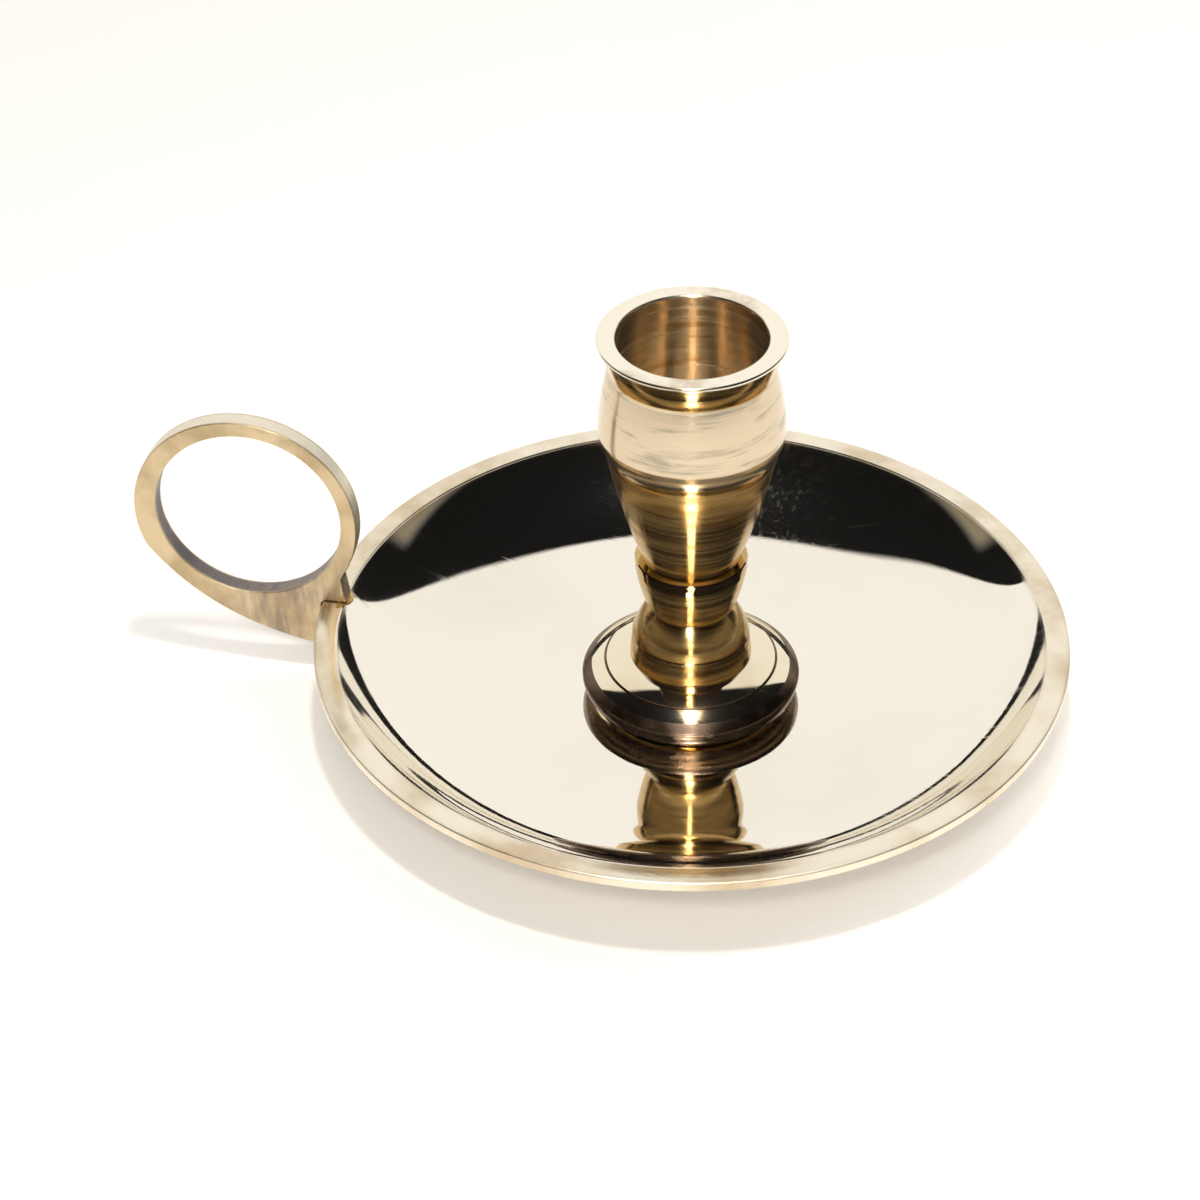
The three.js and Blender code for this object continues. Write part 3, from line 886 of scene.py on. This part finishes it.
# Camera: a long lens at the photograph's angle, looking down on the pan from the front.
# Its place, aim and roll are fitted to the pan's rim, the cup's mouth and the ring.
CAMERA_AZIMUTH = math.radians(8.6)
CAMERA_ELEVATION = math.radians(37.52)
CAMERA_DISTANCE = 0.4909
CAMERA_CENTRE = Vector((0, 0, 0.0127))
CAMERA_AIM_SIDE = -0.01368
CAMERA_AIM_RISE = 0.006275
CAMERA_ROLL = math.radians(-0.926)
CAMERA_LENS = 97.2
CAMERA_SENSOR = 36
CAMERA_NEAREST = 0.01

azimuth_sine = math.sin(CAMERA_AZIMUTH)
azimuth_cosine = math.cos(CAMERA_AZIMUTH)
level_share = math.cos(CAMERA_ELEVATION)
to_camera = Vector((azimuth_sine * level_share, -azimuth_cosine * level_share, math.sin(CAMERA_ELEVATION)))
camera_right = Vector((azimuth_cosine, azimuth_sine, 0))
camera_place = CAMERA_CENTRE + to_camera * CAMERA_DISTANCE
camera_aim = CAMERA_CENTRE + camera_right * CAMERA_AIM_SIDE + Vector((0, 0, CAMERA_AIM_RISE))
camera_data = bpy.data.cameras.new("camera")
camera_data.lens = CAMERA_LENS
camera_data.sensor_width = CAMERA_SENSOR
camera_data.sensor_fit = "HORIZONTAL"
camera_data.clip_start = CAMERA_NEAREST
camera = bpy.data.objects.new("camera", camera_data)
bpy.context.scene.collection.objects.link(camera)
looking = (camera_aim - camera_place).to_track_quat("-Z", "Y").to_matrix().to_4x4()
camera.matrix_world = Matrix.Translation(camera_place) @ looking @ Matrix.Rotation(CAMERA_ROLL, 4, "Z")
bpy.context.scene.camera = camera

# Light: a white sweep arches over the far side of the table, and the room around it is dark.
# A strip in front gives the stem its streak, and a dim warm band and a panel overhead light the sides.
# A large soft lamp gives the shadow, and two small ones give the bright points.
SWEEP_TOP = 0.9
SWEEP_HALF_WIDTH = 0.8
SWEEP_SHIFT = 0.03
SWEEP_ROUNDNESS = 2.6
SWEEP_LOW = -0.03
SWEEP_TURN = (-0.1, 0.3)
SWEEP_SOFTNESS = 0.012
SWEEP_TONE = (1, 0.985, 0.96, 1)
ROOM_STRENGTH = 0.008
STRIP_HALF_WIDTH = 0.06
STRIP_END = (-0.02, 0.0)
STRIP_STRENGTH = 6.0
BAND_LOW = 0.1
BAND_HIGH = 0.46
BAND_END = 0.32
BAND_SOFTNESS = 0.1
BAND_STRENGTH = 0.27
BAND_TONE = (1, 0.86, 0.62, 1)
OVERHEAD_SHIFT = (0, -0.2, 0)
OVERHEAD_SCALE = (7, 4, 0)
OVERHEAD_EDGE = (0.85, 1.0)
OVERHEAD_LOW = (0.4, 0.5)
OVERHEAD_STRENGTH = 0.7
SOFT_LAMP_PLACE = (0.5, 0.35, 0.7)
SOFT_LAMP_SIZE = 0.8
SOFT_LAMP_POWER = 3.0
SMALL_LAMP_PLACE = (0.02, -0.36, 0.3527)
SMALL_LAMP_SIZE = 0.05
SMALL_LAMP_POWER = 0.5
TOP_LAMP_PLACE = (0.012, -0.078, 0.5)
TOP_LAMP_SIZE = 0.04
TOP_LAMP_POWER = 1.0
LAMP_AIM = Vector((0, 0, 0.03))


def lamp(name, place, size, power):
    """A square lamp that looks at the stem."""
    data = bpy.data.lights.new(name, "AREA")
    data.size = size
    data.energy = power
    made = bpy.data.objects.new(name, data)
    made.location = place
    made.rotation_euler = (LAMP_AIM - Vector(place)).to_track_quat("-Z", "Y").to_euler()
    bpy.context.scene.collection.objects.link(made)
    return made


def far_arch(tree, sideways, away, up):
    """White under an arch on the far side, and low down all round, with a dark room above it."""
    aside = maths(tree, "ABSOLUTE", sum_of(tree, sideways, SWEEP_SHIFT))
    share = maths(tree, "DIVIDE", aside, SWEEP_HALF_WIDTH)
    left = maths(tree, "SUBTRACT", 1.0, maths(tree, "POWER", share, SWEEP_ROUNDNESS))
    arch = maths(tree, "POWER", maths(tree, "MAXIMUM", left, 0.0), 1 / SWEEP_ROUNDNESS)
    raised = product(tree, arch, SWEEP_TOP - SWEEP_LOW, ramp(tree, away, SWEEP_TURN))
    over = maths(tree, "SUBTRACT", up, sum_of(tree, raised, SWEEP_LOW))
    return ramp(tree, over, (-SWEEP_SOFTNESS, SWEEP_SOFTNESS), (1.0, ROOM_STRENGTH))


def near_strip(tree, sideways, away):
    """A narrow upright strip of light on the camera's side."""
    off_strip = maths(tree, "ABSOLUTE", sideways)
    strip_edge = (STRIP_HALF_WIDTH - SWEEP_SOFTNESS, STRIP_HALF_WIDTH)
    in_strip = ramp(tree, off_strip, strip_edge, (STRIP_STRENGTH, 0.0))
    return product(tree, in_strip, ramp(tree, away, STRIP_END, FALLING))


def low_band(tree, away, up):
    """A dim band, low at the sides and on the camera's side."""
    foot = ramp(tree, up, (BAND_LOW, BAND_LOW + BAND_SOFTNESS), (0.0, BAND_STRENGTH))
    head = ramp(tree, up, (BAND_HIGH - BAND_SOFTNESS, BAND_HIGH), FALLING)
    end = ramp(tree, away, (BAND_END - BAND_SOFTNESS, BAND_END), FALLING)
    return product(tree, foot, head, end)


def overhead_panel(tree, way, up):
    """A soft oval panel over the table."""
    sockets = {"Vector": way, "Location": OVERHEAD_SHIFT, "Scale": OVERHEAD_SCALE}
    off_middle = vector_maths(tree, "LENGTH", node(tree, "Mapping", sockets).outputs[0])
    in_panel = ramp(tree, off_middle, OVERHEAD_EDGE, (OVERHEAD_STRENGTH, 0.0))
    return product(tree, in_panel, ramp(tree, up, OVERHEAD_LOW))


def surroundings():
    """The white sweep and the other lights round the table. The camera itself sees white."""
    world = bpy.data.worlds.new("white_sweep")
    world.use_nodes = True
    tree = world.node_tree
    backdrop = tree.nodes["Background"]
    way = node(tree, "TexCoord").outputs["Generated"]
    turned_way = node(tree, "Mapping", {"Vector": way, "Rotation": (0, 0, -CAMERA_AZIMUTH)}).outputs[0]
    sideways, away, up = node(tree, "SeparateXYZ", {0: turned_way}).outputs
    warm = sum_of(tree, low_band(tree, away, up), overhead_panel(tree, turned_way, up))
    warmth = ramp(tree, warm, (0.0, BAND_STRENGTH))
    tree.links.new(blend(tree, warmth, SWEEP_TONE, BAND_TONE), backdrop.inputs["Color"])
    strength = sum_of(tree, far_arch(tree, sideways, away, up), near_strip(tree, sideways, away), warm)
    shown = maths(tree, "MAXIMUM", strength, node(tree, "LightPath").outputs["Is Camera Ray"])
    tree.links.new(shown, backdrop.inputs["Strength"])
    return world


bpy.context.scene.world = surroundings()
soft_lamp = lamp("soft_lamp", SOFT_LAMP_PLACE, SOFT_LAMP_SIZE, SOFT_LAMP_POWER)
soft_lamp.visible_glossy = False
lamp("small_lamp", SMALL_LAMP_PLACE, SMALL_LAMP_SIZE, SMALL_LAMP_POWER)
lamp("top_lamp", TOP_LAMP_PLACE, TOP_LAMP_SIZE, TOP_LAMP_POWER)
bpy.context.scene.view_settings.view_transform = "Standard"
